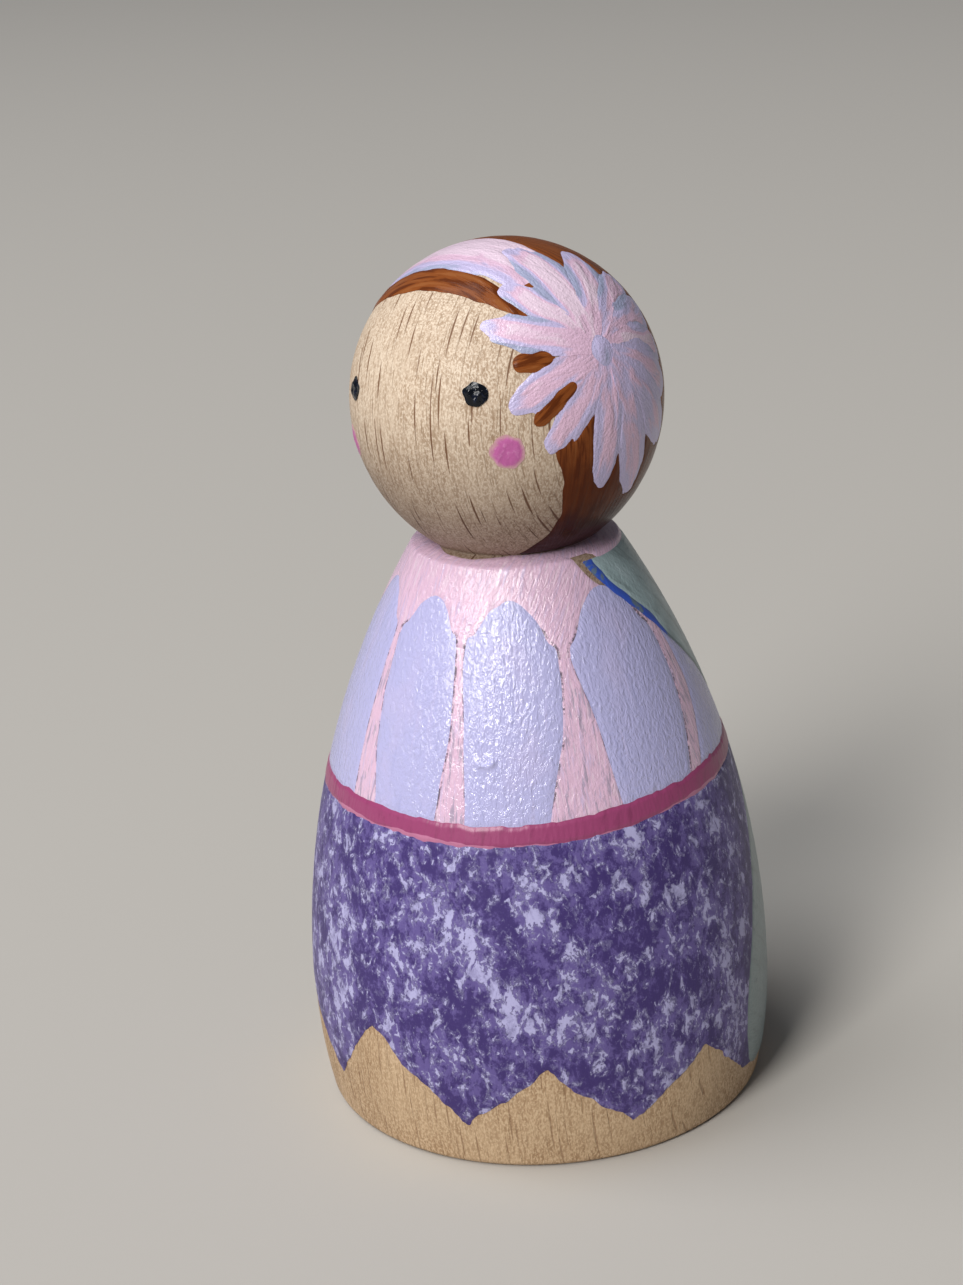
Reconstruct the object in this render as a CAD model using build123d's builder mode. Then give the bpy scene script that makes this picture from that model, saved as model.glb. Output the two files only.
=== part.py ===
from build123d import *
from math import cos, radians, sin, sqrt
import os

# A painted peg doll: one turned beech peg, dressed by thin closed films of paint.
# Millimetres, +Z up, origin at the middle of the flat base. The face looks along -Y, so
# the doll's left is +X. An azimuth is in degrees from the face, positive to the doll's left.

# Driving dimensions of the turned peg
HEIGHT = 57.0
HEAD_RADIUS = 9.9
JAW_RADIUS = 10.9
BELLY_RADIUS = 15.4
BELLY_HEIGHT = 6.9
FLARE_RADIUS = 59.0
FOOT_RADIUS = 34.0
BASE_ROUNDING = 0.5
NECK_RADIUS = 5.3
SHOULDER_HEIGHT = 37.8
HEAD_HEIGHT = HEIGHT - HEAD_RADIUS

# Paint
FILM = 0.12
DOT_FILM = 0.25
REACH = 40.0

# Heights of the bands of the dress
COLLAR_TOP = 37.6
COLLAR_POINT = 33.0
PETAL_PEAK = 36.0
WAIST_TOP = 23.6
WAIST_BOTTOM = 22.1
HEM_LIMIT = 1.5

# Seams of the bodice: azimuth at the collar, then of both sides at the waistband
SEAM_TOP_WIDTH = 0.5
SEAMS = (
    (-99, -99, -94),
    (-55, -61, -50),
    (-14, -17, -7),
    (18.5, 17, 24),
    (60, 53, 68),
    (104, 95, 100),
)
WING_SIDE = 150

# Hem of the skirt: points and the peaks of bare wood between them, as azimuth and height
HEM_POINTS = ((-101, 2.6), (-60, 3.0), (-19, 3.4), (23, 3.2), (63.5, 2.7), (102, 2.3))
HEM_PEAKS = ((-80, 7.2), (-40, 8.0), (-3, 9.0), (43, 7.4), (85, 6.5))

# Wings on the back: front edge from the collar down, then the lower lobe and the spine
WING_FACING = 145
WING_FRONT = ((80, 37.5), (94, 35.4), (108, 32.2), (129, 27.9), (142, 24.0))
WING_LOBE = ((142, 24.0), (119, 16.3), (105, 8.5), (104, 4.0), (113, 1.6), (148, 2.6), (180, 8.0))
WING_SPINE = ((180, 8.0), (180, 23.0), (180, 37.6))
WING_EDGE_WIDTH = 0.6

# The daisy over the left ear: bearing of each petal round its centre, and its length
FLOWER_AZIMUTH = 83
FLOWER_LATITUDE = 25
FLOWER_CENTRE = (0.85, 1.1)
PETAL_WIDTH = 2.9
PETALS = (
    (153, 7.2), (194, 7.1), (232, 6.9), (262, 8.1), (283, 9.3), (308, 7.4), (331, 7.1),
    (355, 6.6), (20, 7.8), (44, 7.6), (66, 8.1), (97, 9.3), (122, 7.5),
)
# Tufts of hair between the petals: bearing, near and far end, width
TUFTS = {"tuft_upper": (175, 3.4, 5.8, 1.25), "tuft_lower": (211, 2.9, 6.3, 1.0)}

# Hair: the hairline seen from the side, as y and z
HAIRLINE = ((-4.0, 38.3), (-3.8, 41.0), (-4.7, 44.4), (-5.3, 46.8), (-4.6, 52.0), (-3.5, 57.0))
# Fringe and headband seen from above, as x and y
FRINGE = ((6.0, -4.2), (4.0, -5.4), (0.4, -5.95), (-4.0, -5.7), (-7.4, -3.9), (-3.0, -4.3), (1.5, -4.3))
HEADBAND = ((4.4, -3.6), (0.0, -3.9), (-5.5, -3.5), (-8.8, -1.8), (-8.6, -0.4), (-3.0, 0.0), (4.2, -0.2))

# Eyes and cheeks: azimuth of the left one, latitude, radius
EYE = (31, 14.5, 0.78)
CHEEK = (42, -5, 1.2)


def body_radius(height):
    """Radius of the turned body at a height."""
    arc = FLARE_RADIUS if height > BELLY_HEIGHT else FOOT_RADIUS
    return BELLY_RADIUS - arc + sqrt(arc**2 - (height - BELLY_HEIGHT) ** 2)


def jaw_height(radius, film=0.0):
    """Height of the head's lower arc, or of a film on it, at a radius."""
    return HEAD_HEIGHT - sqrt((JAW_RADIUS + film) ** 2 - (radius - HEAD_RADIUS + JAW_RADIUS) ** 2)


def body_plane(azimuth):
    """Upright plane through the axis that faces an azimuth, with its y along +Z."""
    turn = radians(azimuth)
    return Plane(origin=(0, 0, 0), x_dir=(cos(turn), sin(turn), 0), z_dir=(sin(turn), -cos(turn), 0))


def head_plane(azimuth, latitude):
    """Plane through the centre of the head that faces an azimuth and a latitude."""
    turn = radians(azimuth)
    tilt = radians(latitude)
    outward = (cos(tilt) * sin(turn), -cos(tilt) * cos(turn), sin(tilt))
    return Plane(origin=(0, 0, HEAD_HEIGHT), x_dir=(cos(turn), sin(turn), 0), z_dir=outward)


def on_body(azimuth, height, facing):
    """A point of the body's surface, as seen square on to the plane that faces an azimuth."""
    return (body_radius(height) * sin(radians(azimuth - facing)), height)


def save(part, label):
    part.label = label
    export_step(part, f"parts/{label}.step")


def body_profile(film):
    """Both arcs of the body's side, from the foot up to the shoulder, moved out by a film."""
    low = BELLY_RADIUS - FOOT_RADIUS + sqrt((FOOT_RADIUS + film) ** 2 - BELLY_HEIGHT**2)
    rise = SHOULDER_HEIGHT - BELLY_HEIGHT
    high = BELLY_RADIUS - FLARE_RADIUS + sqrt((FLARE_RADIUS + film) ** 2 - rise**2)
    belly = (BELLY_RADIUS + film, BELLY_HEIGHT)
    foot = RadiusArc((low, 0), belly, -(FOOT_RADIUS + film))
    flare = RadiusArc(belly, (high, SHOULDER_HEIGHT), -(FLARE_RADIUS + film))
    return foot @ 0, flare @ 1


def head_profile(film):
    """Both arcs of the head, from the neck up to the crown, moved out by a film."""
    jaw = (NECK_RADIUS, jaw_height(NECK_RADIUS, film))
    side = (HEAD_RADIUS + film, HEAD_HEIGHT)
    lower = RadiusArc(jaw, side, -(JAW_RADIUS + film))
    upper = RadiusArc(side, (0, HEIGHT + film), -(HEAD_RADIUS + film))
    return lower @ 0, upper @ 1


def turned_peg():
    """The wooden peg: belly, shoulder, neck groove and ball head in one piece."""
    with BuildPart() as peg:
        with BuildSketch(Plane.XZ):
            with BuildLine():
                foot, shoulder = body_profile(0)
                jaw, crown = head_profile(0)
                Line(shoulder, jaw)
                Polyline(crown, (0, 0), foot)
            make_face()
        revolve(axis=Axis.Z)
        rims = peg.edges().filter_by(GeomType.CIRCLE).sort_by(Axis.Z)
        fillet(rims[0], BASE_ROUNDING)
    return peg.part


def body_coat():
    """A film all round the body, from the foot to the shoulder."""
    with BuildPart() as coat:
        with BuildSketch(Plane.XZ):
            with BuildLine():
                inner_foot, inner_shoulder = body_profile(0)
                outer_foot, outer_shoulder = body_profile(FILM)
                Line(inner_foot, outer_foot)
                Line(inner_shoulder, outer_shoulder)
            make_face()
        revolve(axis=Axis.Z)
    return coat.part


def head_coat(film):
    """A film all round the head, from the neck to the crown."""
    with BuildPart() as coat:
        with BuildSketch(Plane.XZ):
            with BuildLine():
                inner_jaw, inner_crown = head_profile(0)
                outer_jaw, outer_crown = head_profile(film)
                Line(inner_jaw, outer_jaw)
                Line(inner_crown, outer_crown)
            make_face()
        revolve(axis=Axis.Z)
    return coat.part


def band(coat, low, high):
    """The part of a coat between two heights."""
    with BuildPart() as ring:
        add(coat)
        with Locations((0, 0, (low + high) / 2)):
            Box(REACH, REACH, high - low, mode=Mode.INTERSECT)
    return ring.part


def prism(outline):
    """The space in front of an outline, out through the surface that it faces."""
    with BuildPart() as space:
        extrude(outline, amount=REACH)
    return space.part


def film_patch(coat, region, covered):
    """One patch of paint: the coat inside a region, less the regions painted already, in one solid."""
    with BuildPart() as film:
        add(coat)
        if region is not None:
            add(region, mode=Mode.INTERSECT)
        for other in covered:
            add(other, mode=Mode.SUBTRACT)
    return Part() + max(film.part.solids(), key=lambda solid: solid.volume)


def dot_outline(plane, radius):
    with BuildSketch(plane) as outline:
        Circle(radius)
    return outline.sketch


def closed_curve(plane, points):
    """The area inside a smooth closed curve."""
    with BuildSketch(plane) as outline:
        with BuildLine():
            Spline(*points, periodic=True)
        make_face()
    return outline.sketch


def stroke_outline(plane, bearing, near, far, width):
    """An ellipse that lies along a bearing, between two distances measured over the head."""
    inner = HEAD_RADIUS * sin(near / HEAD_RADIUS)
    outer = HEAD_RADIUS * sin(far / HEAD_RADIUS)
    middle = (inner + outer) / 2
    turn = radians(bearing)
    with BuildSketch(plane) as outline:
        with Locations((middle * cos(turn), middle * sin(turn))):
            Ellipse((outer - inner) / 2, width / 2, rotation=bearing)
    return outline.sketch


def petal_outline(right, left):
    """A tall arch between two seams, wide at the waistband and closed at the collar."""
    facing = (right[0] + left[0]) / 2
    half_seam = SEAM_TOP_WIDTH / 2
    right_top = on_body(right[0], COLLAR_POINT, facing)
    left_top = on_body(left[0], COLLAR_POINT, facing)
    foot = WAIST_TOP - 1
    right_foot = (on_body(right[2], WAIST_TOP, facing)[0], foot)
    left_foot = (on_body(left[1], WAIST_TOP, facing)[0], foot)
    with BuildSketch(body_plane(facing)) as outline:
        with BuildLine():
            start = (right_top[0] + half_seam, COLLAR_POINT)
            end = (left_top[0] - half_seam, COLLAR_POINT)
            ThreePointArc(start, ((start[0] + end[0]) / 2, PETAL_PEAK), end)
            Polyline(end, left_foot, right_foot, start)
        make_face()
    return outline.sketch


def peak_outline(first, peak, second):
    """A pointed peak of bare wood between two points of the hem, down past the base."""
    corners = [on_body(azimuth, height, peak[0]) for azimuth, height in (first, peak, second)]
    below = -1
    with BuildSketch(body_plane(peak[0])) as outline:
        with BuildLine():
            Polyline(*corners, (corners[2][0], below), (corners[0][0], below), close=True)
        make_face()
    return outline.sketch


def wing_outline():
    front = [on_body(azimuth, height, WING_FACING) for azimuth, height in WING_FRONT]
    lobe = [on_body(azimuth, height, WING_FACING) for azimuth, height in WING_LOBE]
    spine = [on_body(azimuth, height, WING_FACING) for azimuth, height in WING_SPINE]
    with BuildSketch(body_plane(WING_FACING)) as outline:
        with BuildLine():
            Spline(*front)
            Spline(*lobe)
            ThreePointArc(*spine)
            Line(spine[-1], front[0])
        make_face()
    return outline.sketch


def wing_edge_outline():
    """A strip along the front edge of the wing, pointed at its lower end."""
    outer = [on_body(azimuth, height, WING_FACING) for azimuth, height in WING_FRONT]
    inner = [(x + WING_EDGE_WIDTH, height + WING_EDGE_WIDTH) for x, height in outer[:-1]]
    with BuildSketch(body_plane(WING_FACING)) as outline:
        with BuildLine():
            Spline(*outer)
            Spline(*inner, outer[-1])
            Line(outer[0], inner[0])
        make_face()
    return outline.sketch


def mirrored(part):
    with BuildPart() as twin:
        add(part)
        mirror(about=Plane.YZ, mode=Mode.REPLACE)
    return twin.part


def seam_outline(seam):
    """A tall strip that holds one seam and reaches into the petals on both sides."""
    middle = (seam[0] + seam[1] + seam[2]) / 3
    reach = 3.5
    with BuildSketch(body_plane(middle)) as outline:
        with Locations((0, (WAIST_TOP + COLLAR_POINT) / 2)):
            Rectangle(2 * reach, COLLAR_POINT - WAIST_TOP)
    return outline.sketch


def behind_hairline():
    """The space behind the hairline, which looks the same from both sides of the head."""
    with BuildPart() as space:
        with BuildSketch(Plane.YZ):
            with BuildLine():
                hairline = Spline(*HAIRLINE)
                low_back = (HEAD_RADIUS + 1, HAIRLINE[0][1])
                high_back = (HEAD_RADIUS + 1, HEIGHT + 1)
                Polyline(hairline @ 1, (HAIRLINE[-1][0], HEIGHT + 1), high_back, low_back, hairline @ 0)
            make_face()
        extrude(amount=REACH, both=True)
    return space.part


def paint_head():
    """Flower, tufts, fringe, headband, hair, eyes and cheeks, each less the ones before it."""
    coat = head_coat(FILM)
    dots = head_coat(DOT_FILM)
    flower = head_plane(FLOWER_AZIMUTH, FLOWER_LATITUDE)
    above = Plane.XY.offset(HEAD_HEIGHT)
    with BuildSketch(flower) as centre:
        Ellipse(*FLOWER_CENTRE)

    regions = {"flower_centre": prism(centre.sketch)}
    for number, (bearing, length) in enumerate(PETALS, start=1):
        outline = stroke_outline(flower, bearing, FLOWER_CENTRE[0] / 2, length, PETAL_WIDTH)
        regions[f"flower_petal_{number}"] = prism(outline)
    for label, (bearing, near, far, width) in TUFTS.items():
        regions[label] = prism(stroke_outline(flower, bearing, near, far, width))
    regions["fringe_lock"] = prism(closed_curve(above, FRINGE))
    regions["headband"] = prism(closed_curve(above, HEADBAND))
    regions["hair"] = behind_hairline()

    films = {}
    covered = []
    for label, region in regions.items():
        films[label] = film_patch(coat, region, covered)
        covered.append(region)

    for side, sign in (("left", 1), ("right", -1)):
        for name, (azimuth, latitude, radius) in (("eye", EYE), ("cheek", CHEEK)):
            dot = prism(dot_outline(head_plane(sign * azimuth, latitude), radius))
            films[f"{name}_{side}"] = film_patch(dots if name == "eye" else coat, dot, [])
    return films


def paint_body():
    """Wings, bodice, collar, seams, waistband and skirt, each less the ones before it."""
    coat = body_coat()
    painted = band(coat, 0, COLLAR_TOP)
    edge_region = prism(wing_edge_outline())
    wing_region = prism(wing_outline())
    edge = film_patch(painted, edge_region, [])
    wing = film_patch(painted, wing_region, [edge_region])
    films = {
        "wing_edge_left": edge,
        "wing_left": wing,
        "wing_edge_right": mirrored(edge),
        "wing_right": mirrored(wing),
    }
    wings = [edge_region, wing_region, mirrored(edge_region), mirrored(wing_region)]

    bodice = band(coat, WAIST_TOP, COLLAR_TOP)
    right_end = (-WING_SIDE, -WING_SIDE, -WING_SIDE)
    left_end = (WING_SIDE, WING_SIDE, WING_SIDE)
    sides = (right_end, *SEAMS, left_end)
    petals = [prism(petal_outline(right, left)) for right, left in zip(sides, sides[1:])]
    for number, petal in enumerate(petals, start=1):
        films[f"bodice_petal_{number}"] = film_patch(bodice, petal, wings)

    films["collar"] = film_patch(band(coat, COLLAR_POINT, COLLAR_TOP), None, wings + petals)
    under_collar = band(coat, WAIST_TOP, COLLAR_POINT)
    for number, seam in enumerate(SEAMS, start=1):
        films[f"seam_{number}"] = film_patch(under_collar, prism(seam_outline(seam)), wings + petals)

    films["waistband"] = film_patch(band(coat, WAIST_BOTTOM, WAIST_TOP), None, wings)
    peaks = [prism(peak_outline(*corners)) for corners in zip(HEM_POINTS, HEM_PEAKS, HEM_POINTS[1:])]
    films["skirt"] = film_patch(band(coat, HEM_LIMIT, WAIST_BOTTOM), None, wings + peaks)
    return films


def main():
    os.makedirs("parts", exist_ok=True)
    save(turned_peg(), "turned_peg")
    for label, part in {**paint_head(), **paint_body()}.items():
        save(part, label)
        print(f"{label:18s} solids {len(part.solids())}  volume {part.volume:8.3f} mm3")


main()
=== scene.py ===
from math import cos, pi, radians, sin

import bpy
import numpy as np
from mathutils import Matrix, Vector


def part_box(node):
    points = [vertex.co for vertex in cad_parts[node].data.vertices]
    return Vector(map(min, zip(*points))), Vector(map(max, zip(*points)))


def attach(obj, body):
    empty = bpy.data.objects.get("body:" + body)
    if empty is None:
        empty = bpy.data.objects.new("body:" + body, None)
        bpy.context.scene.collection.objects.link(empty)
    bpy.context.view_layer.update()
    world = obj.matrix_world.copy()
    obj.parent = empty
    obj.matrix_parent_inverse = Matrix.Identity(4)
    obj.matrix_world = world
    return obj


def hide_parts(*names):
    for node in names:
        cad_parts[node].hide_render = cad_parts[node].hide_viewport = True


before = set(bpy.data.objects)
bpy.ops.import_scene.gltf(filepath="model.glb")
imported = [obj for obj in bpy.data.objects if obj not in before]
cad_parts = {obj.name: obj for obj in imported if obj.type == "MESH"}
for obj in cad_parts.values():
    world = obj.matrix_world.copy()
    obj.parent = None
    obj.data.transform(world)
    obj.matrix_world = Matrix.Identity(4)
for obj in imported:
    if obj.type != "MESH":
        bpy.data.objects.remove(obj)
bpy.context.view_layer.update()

# A painted peg doll. Lengths are millimetres, and become metres where a mesh or the camera is
# made; the lights and the floor are given in metres. The face looks along -Y, +X is the doll's
# left, and an azimuth is in degrees from the face, positive to the doll's left.
MM = 0.001


def node_high(node):
    """The highest corner of a CAD node, in millimetres."""
    return np.array(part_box(node)[1]) / MM


# -------- the turned surface --------

BELLY_RADIUS, _, HEIGHT = node_high("turned_peg")
HEAD_RADIUS = 9.9
JAW_RADIUS = 10.9
NECK_RADIUS = 5.3
SHOULDER_HEIGHT = 37.8
BELLY_HEIGHT = 6.9
# Radii of the arcs that the side follows above the belly and below it
FLARE_RADIUS = 59
FOOT_RADIUS = 34
HEAD_HEIGHT = HEIGHT - HEAD_RADIUS
BASE_ROUNDING = 0.5
# The ledge on top of the shoulder: its slope inward and upward, and how soft its edge is
LEDGE_IN, LEDGE_UP = 0.958, 0.285
LEDGE_EDGE = 0.2


def body_arc(height):
    """Radius of the arc that the body follows at a height, and the radius of the body."""
    arc = np.where(height > BELLY_HEIGHT, FLARE_RADIUS, FOOT_RADIUS)
    return arc, BELLY_RADIUS - arc + np.sqrt(arc**2 - (height - BELLY_HEIGHT) ** 2)


def body_radius(height):
    return body_arc(np.asarray(height, float))[1]


def outward(azimuth):
    """Level unit vectors that face the azimuths."""
    turn = np.radians(azimuth)
    return np.stack([np.sin(turn), -np.cos(turn), 0 * turn], -1)


def body_surface(azimuth, height):
    """Points on the body and the directions square to it. Above the shoulder's height, the
    rest of the height is a distance inward over the ledge that the head stands on."""
    over = np.maximum(height - SHOULDER_HEIGHT, 0)
    arc, radius = body_arc(height - over)
    rise = (height - over - BELLY_HEIGHT) / arc
    turned = smooth(-LEDGE_EDGE, LEDGE_EDGE, height - SHOULDER_HEIGHT)
    rise = rise + (LEDGE_IN - rise) * turned
    level = outward(azimuth)
    up = np.array([0.0, 0.0, 1.0])
    radius, height = radius - over * LEDGE_IN, height - over + over * LEDGE_UP
    points = level * radius[..., None] + up * height[..., None]
    return points, level * np.sqrt(1 - rise**2)[..., None] + up * rise[..., None]


def head_surface(direction):
    """Points on the head along unit vectors from its centre, and the directions square to it."""
    rise = direction[..., 2]
    level = np.sqrt(np.maximum(1 - rise**2, 0))
    inset = JAW_RADIUS - HEAD_RADIUS
    reach = -inset * level + np.sqrt(inset**2 * level**2 + JAW_RADIUS**2 - inset**2)
    reach = np.where(rise < 0, reach, HEAD_RADIUS)
    points = direction * reach[..., None]
    inward = np.where(rise < 0, inset, 0.0) / np.maximum(level, 1e-6)
    square = points + direction * [1, 1, 0] * inward[..., None]
    square /= np.linalg.norm(square, axis=-1, keepdims=True)
    return points + [0, 0, HEAD_HEIGHT], square


# -------- noise and outlines --------


def smooth(low, high, value):
    """0 below low, 1 above high, and a smooth step between."""
    t = np.clip((value - low) / (high - low), 0, 1)
    return t * t * (3 - 2 * t)


def lattice(x, y, seed):
    """A fixed number from -1 to 1 for each whole-numbered place."""
    mixed = (x * 374761393 + y * 668265263 + seed * 974634777) & 0x7FFFFFFF
    mixed = ((mixed ^ (mixed >> 13)) * 1274126177) & 0x7FFFFFFF
    return ((mixed ^ (mixed >> 16)) & 0xFFFF) / 32767.5 - 1


def wobble(x, y, seed):
    """Smooth noise from -1 to 1, with bumps about one unit across."""
    cell_x, cell_y = np.floor(x).astype(np.int64), np.floor(y).astype(np.int64)
    u, v = smooth(0, 1, x - cell_x), smooth(0, 1, y - cell_y)
    low = lattice(cell_x, cell_y, seed) * (1 - u) + lattice(cell_x + 1, cell_y, seed) * u
    high = lattice(cell_x, cell_y + 1, seed) * (1 - u) + lattice(cell_x + 1, cell_y + 1, seed) * u
    return low * (1 - v) + high * v


def curve(points, steps=10):
    """A smooth open curve through points (Catmull-Rom)."""
    p = np.array(points, float)
    p = np.vstack([2 * p[0] - p[1], p, 2 * p[-1] - p[-2]])
    t = np.arange(steps)[:, None] / steps
    spans = []
    for a, b, c, d in zip(p, p[1:], p[2:], p[3:]):
        bend, twist = 2 * a - 5 * b + 4 * c - d, 3 * b - a - 3 * c + d
        spans.append(0.5 * (2 * b + (c - a) * t + bend * t**2 + twist * t**3))
    return np.vstack([*spans, p[-2:-1]])


def loop(points, steps=10):
    """A smooth closed curve through points."""
    return curve([points[-1], *points, points[0], points[1]], steps)[steps:-steps]


def inside(x, y, outline):
    """Distance from each place to a closed outline, positive inside it."""
    ends = np.roll(outline, -1, axis=0)
    nearest = np.full(x.shape, np.inf)
    within = np.zeros(x.shape, bool)
    for (ax, ay), (bx, by) in zip(outline, ends):
        ex, ey = bx - ax, by - ay
        length = ex * ex + ey * ey
        if length < 1e-12:
            continue
        t = np.clip(((x - ax) * ex + (y - ay) * ey) / length, 0, 1)
        nearest = np.minimum(nearest, (x - ax - t * ex) ** 2 + (y - ay - t * ey) ** 2)
        if ey:
            crosses = (ay > y) != (by > y)
            within ^= crosses & (x < ax + (y - ay) * ex / ey)
    return np.where(within, 1, -1) * np.sqrt(nearest)


# -------- films of paint --------

# How far apart a film's points are, how deep it sits in what it covers, how far a lower film
# runs on under an upper one, and the bend past which an edge is shaded as sharp
STEP = 0.13
SUNK = 0.03
LAP = 0.12
FILM_EDGE = radians(50)
# A film's thickness at its edge, as a share of the rest, and how uneven it is
THIN_EDGE = 0.35
UNEVEN = 0.12
# The paint of each coat, and how thick it is
COATS = {
    "daisy_middle": ("petal", 0.14),
    "daisy_petal": ("petal", 0.065),
    "headband": ("petal", 0.075),
    "lock": ("hair", 0.09),
    "hair": ("hair", 0.06),
    "eye": ("eye", 0.20),
    "cheek": ("cheek", 0.06),
    "bodice": ("bodice", 0.07),
    "collar": ("collar", 0.06),
    "seam": ("seam", 0.05),
    "waist": ("waist", 0.11),
    "skirt": ("skirt", 0.08),
    "wing": ("wing", 0.08),
    "line": ("line", 0.09),
}


class BodyChart:
    """A patch of the body, laid out by azimuth and height."""

    def __init__(self, azimuths, heights, step=STEP):
        low, high = azimuths
        turn = np.degrees(step / BELLY_RADIUS)
        self.u = np.linspace(low, high, int((high - low) / turn) + 2)
        self.v = np.linspace(*heights, int((heights[1] - heights[0]) / step) + 2)

    surface = staticmethod(body_surface)


class HeadChart:
    """A patch of the head round a centre, laid out by distances over the head."""

    def __init__(self, azimuth, latitude, reach, step=STEP):
        self.axes = head_axes(azimuth, latitude)
        self.u = np.linspace(-reach[0], reach[0], int(2 * reach[0] / step) + 2)
        self.v = np.linspace(-reach[1], reach[1], int(2 * reach[1] / step) + 2)

    def surface(self, u, v):
        away = np.hypot(u, v)
        angle = np.minimum(away / HEAD_RADIUS, pi * 0.98)
        share = np.sin(angle) / np.maximum(away, 1e-9)
        parts = np.stack([u * share, v * share, np.cos(angle)], -1)
        return head_surface(parts @ np.array(self.axes))


def head_axes(azimuth, latitude):
    """East, north and outward unit vectors at a place on the head."""
    turn, tilt = radians(azimuth), radians(latitude)
    east = np.array([cos(turn), sin(turn), 0.0])
    out = np.array([cos(tilt) * sin(turn), -cos(tilt) * cos(turn), sin(tilt)])
    return east, np.cross(out, east), out


def over_head(points, centre):
    """Bearing distances over the head, east and north of a centre, of points in space."""
    east, north, out = centre
    direction = points - [0, 0, HEAD_HEIGHT]
    direction = direction / np.linalg.norm(direction, axis=-1, keepdims=True)
    angle = np.arccos(np.clip(direction @ out, -1, 1))
    share = HEAD_RADIUS * angle / np.maximum(np.sin(angle), 1e-6)
    return (direction @ east) * share, (direction @ north) * share


def cut_cells(field):
    """Cuts a grid along the line where field is zero, and keeps the positive side.
    Returns the kept corners as grid places, the faces, and the rim's edges."""
    field = field.copy()
    for rim in (field[0], field[-1], field[:, 0], field[:, -1]):
        np.minimum(rim, -1e-4, out=rim)
    kept = field > 0
    number = np.full(field.shape, -1)
    number[kept] = np.arange(kept.sum())
    places = [np.argwhere(kept).astype(float)]
    count = len(places[0])
    crossings = []
    for axis in (0, 1):
        first = field[:-1] if axis == 0 else field[:, :-1]
        second = field[1:] if axis == 0 else field[:, 1:]
        changes = (first > 0) != (second > 0)
        ids = np.full(changes.shape, -1)
        ids[changes] = count + np.arange(changes.sum())
        count += changes.sum()
        share = first[changes] / (first[changes] - second[changes])
        place = np.argwhere(changes).astype(float)
        place[:, axis] += share
        places.append(place)
        crossings.append(ids)
    across, along = crossings
    all_in = kept[:-1, :-1] & kept[1:, :-1] & kept[1:, 1:] & kept[:-1, 1:]
    some_in = (kept[:-1, :-1] | kept[1:, :-1] | kept[1:, 1:] | kept[:-1, 1:]) & ~all_in
    i, j = np.nonzero(all_in)
    faces = np.stack([number[i, j], number[i + 1, j], number[i + 1, j + 1], number[i, j + 1]], -1).tolist()
    rim = []
    for i, j in np.argwhere(some_in):
        corners = (number[i, j], number[i + 1, j], number[i + 1, j + 1], number[i, j + 1])
        sides = (across[i, j], along[i + 1, j], across[i, j + 1], along[i, j])
        face, leaves = [], []
        for corner, side in zip(corners, sides):
            if corner >= 0:
                face.append(int(corner))
            if side >= 0:
                leaves.append((len(face), corner >= 0))
                face.append(int(side))
        faces.append(face)
        for place, leaving in leaves:
            if leaving:
                rim.append((face[place], face[(place + 1) % len(face)]))
    return np.vstack(places), faces, rim


def film(name, chart, region, coat, strokes, relief=None, ramp=0.25, edge=None):
    """A closed film of paint where region is positive, in millimetres from its outline.
    strokes gives each point its place along and across the brush strokes, and a mark that the
    paint's pattern uses. edge says how far each point is from where the film thins out, over
    the width of ramp."""
    paint, thickness = COATS[coat]
    grid_u, grid_v = np.meshgrid(chart.u, chart.v, indexing="ij")
    points, _ = chart.surface(grid_u, grid_v)
    places, faces, rim = cut_cells(region(grid_u, grid_v, points))
    u = np.interp(places[:, 0], np.arange(len(chart.u)), chart.u)
    v = np.interp(places[:, 1], np.arange(len(chart.v)), chart.v)
    points, square = chart.surface(u, v)
    full = smooth(0, ramp, (edge or region)(u, v, points))
    rise = thickness * (THIN_EDGE + (1 - THIN_EDGE) * full) * (1 + UNEVEN * wobble(u * 2.1, v * 1.3, 3))
    if relief:
        rise += relief(u, v, points) * full
    top = points + square * rise[:, None]
    bottom = points - square * SUNK
    below = len(top)
    beneath = [[corner + below for corner in reversed(face)] for face in faces]
    walls = [(b, a, a + below, b + below) for a, b in rim]
    mesh = bpy.data.meshes.new(name)
    mesh.from_pydata(np.vstack([top, bottom]) * MM, [], faces + beneath + walls)
    values = np.stack(strokes(u, v, points), -1).astype(np.float32)
    attribute = mesh.attributes.new("stroke", "FLOAT_VECTOR", "POINT")
    attribute.data.foreach_set("vector", np.vstack([values, values]).ravel())
    mesh.shade_smooth()
    mesh.set_sharp_from_angle(angle=FILM_EDGE)
    place(name, mesh, paint)


def new_object(name, data):
    """Adds an object to the scene."""
    added = bpy.data.objects.new(name, data)
    bpy.context.scene.collection.objects.link(added)
    return added


def place(name, mesh, paint):
    """Adds a mesh as the piece that stands for the CAD node of that name."""
    material, slot = PAINTS[paint]
    mesh.materials.append(material)
    piece = new_object("painted_" + name, mesh)
    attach(piece, "root")
    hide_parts(name)


# -------- materials --------


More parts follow.
